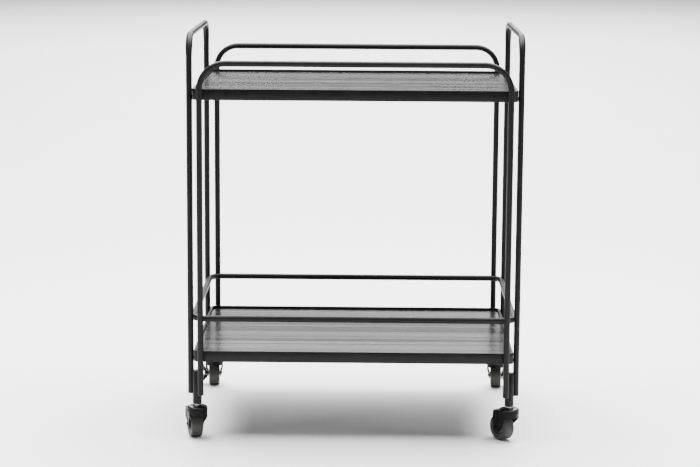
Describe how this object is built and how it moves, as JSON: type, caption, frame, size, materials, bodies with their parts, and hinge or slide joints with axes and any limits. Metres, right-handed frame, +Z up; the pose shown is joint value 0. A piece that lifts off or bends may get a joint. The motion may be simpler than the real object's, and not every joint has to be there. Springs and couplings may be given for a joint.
{
  "type": "bar cart",
  "caption": "Two-tier bar cart: bent steel tube handles and rails, inset tray shelves, a lower guard rail and swivel casters.",
  "frame": {"origin": "middle of the overall box in plan, at the floor", "axes": "+Z up, +X along the long side between the two handles, -Y towards the front"},
  "size_m": [0.686, 0.5078, 0.8115],
  "materials": {
    "frame_paint": "satin black powder coat",
    "shelf_panel": "black wood grain, satin lacquer",
    "leg_plug": "matt black",
    "caster_black": "gloss black",
    "zinc": "bright zinc plate",
    "wheel_hub": "satin dark grey",
    "tyre": "matt dark grey",
    "brake_plastic": "gloss black"
  },
  "bodies": {
    "cart_frame": {"bottom_tray_bolt_front_left": "caster_black", "bottom_tray_bolt_front_right": "caster_black", "bottom_tray_bolt_rear_left": "caster_black", "bottom_tray_bolt_rear_right": "caster_black", "bottom_tray_frame": "frame_paint", "bottom_tray_panel": "shelf_panel", "front_left_caster_cap": "caster_black", "front_left_caster_socket": "frame_paint", "front_left_caster_stem": "zinc", "front_left_handle_leg_plug": "leg_plug", "front_left_rail_leg_plug": "leg_plug", "front_rail_frame": "frame_paint", "front_right_caster_cap": "caster_black", "front_right_caster_socket": "frame_paint", "front_right_caster_stem": "zinc", "front_right_handle_leg_plug": "leg_plug", "front_right_rail_leg_plug": "leg_plug", "left_handle_frame": "frame_paint", "lower_guard_rail": "frame_paint", "rear_left_caster_cap": "caster_black", "rear_left_caster_socket": "frame_paint", "rear_left_caster_stem": "zinc", "rear_left_handle_leg_plug": "leg_plug", "rear_left_rail_leg_plug": "leg_plug", "rear_rail_frame": "frame_paint", "rear_right_caster_cap": "caster_black", "rear_right_caster_socket": "frame_paint", "rear_right_caster_stem": "zinc", "rear_right_handle_leg_plug": "leg_plug", "rear_right_rail_leg_plug": "leg_plug", "right_handle_frame": "frame_paint", "top_tray_bolt_front_left": "caster_black", "top_tray_bolt_front_right": "caster_black", "top_tray_bolt_rear_left": "caster_black", "top_tray_bolt_rear_right": "caster_black", "top_tray_frame": "frame_paint", "top_tray_panel": "shelf_panel"},
    "front_left_fork": {"front_left_caster_fork": "caster_black", "front_left_caster_axle": "caster_black"},
    "front_left_wheel": {"front_left_caster_hub": "wheel_hub", "front_left_caster_tyre": "tyre"},
    "front_right_fork": {"front_right_caster_fork": "caster_black", "front_right_caster_axle": "caster_black"},
    "front_right_wheel": {"front_right_caster_hub": "wheel_hub", "front_right_caster_tyre": "tyre"},
    "rear_left_fork": {"rear_left_caster_fork": "caster_black", "rear_left_caster_axle": "caster_black"},
    "rear_left_wheel": {"rear_left_caster_hub": "wheel_hub", "rear_left_caster_tyre": "tyre"},
    "rear_left_brake": {"rear_left_brake_lever": "brake_plastic"},
    "rear_right_fork": {"rear_right_caster_fork": "caster_black", "rear_right_caster_axle": "caster_black"},
    "rear_right_wheel": {"rear_right_caster_hub": "wheel_hub", "rear_right_caster_tyre": "tyre"},
    "rear_right_brake": {"rear_right_brake_lever": "brake_plastic"}
  },
  "joints": [
    {"name": "front_left_swivel", "type": "hinge", "parent": "cart_frame", "child": "front_left_fork", "pos_m": [-0.31089, -0.23338, 0.0624], "axis": [0, 0, 1], "continuous": true},
    {"name": "front_left_roll", "type": "hinge", "parent": "front_left_fork", "child": "front_left_wheel", "pos_m": [-0.31733, -0.21234, 0.026], "axis": [0.9563, 0.2924, 0], "continuous": true},
    {"name": "front_right_swivel", "type": "hinge", "parent": "cart_frame", "child": "front_right_fork", "pos_m": [0.31089, -0.23338, 0.0624], "axis": [0, 0, 1], "continuous": true},
    {"name": "front_right_roll", "type": "hinge", "parent": "front_right_fork", "child": "front_right_wheel", "pos_m": [0.29859, -0.21514, 0.026], "axis": [0.829, 0.5592, 0], "continuous": true},
    {"name": "rear_left_swivel", "type": "hinge", "parent": "cart_frame", "child": "rear_left_fork", "pos_m": [-0.31089, 0.20541, 0.0624], "axis": [0, 0, 1], "continuous": true},
    {"name": "rear_left_roll", "type": "hinge", "parent": "rear_left_fork", "child": "rear_left_wheel", "pos_m": [-0.31243, 0.22735, 0.026], "axis": [0.9976, 0.0698, 0], "continuous": true},
    {"name": "rear_left_brake_press", "type": "hinge", "parent": "rear_left_fork", "child": "rear_left_brake", "pos_m": [-0.31243, 0.22735, 0.026], "axis": [0.9976, 0.0698, 0], "range_deg": [-15, 15]},
    {"name": "rear_right_swivel", "type": "hinge", "parent": "cart_frame", "child": "rear_right_fork", "pos_m": [0.31089, 0.20541, 0.0624], "axis": [0, 0, 1], "continuous": true},
    {"name": "rear_right_roll", "type": "hinge", "parent": "rear_right_fork", "child": "rear_right_wheel", "pos_m": [0.31243, 0.22735, 0.026], "axis": [0.9976, -0.0698, 0], "continuous": true},
    {"name": "rear_right_brake_press", "type": "hinge", "parent": "rear_right_fork", "child": "rear_right_brake", "pos_m": [0.31243, 0.22735, 0.026], "axis": [0.9976, -0.0698, 0], "range_deg": [-15, 15]}
  ]
}
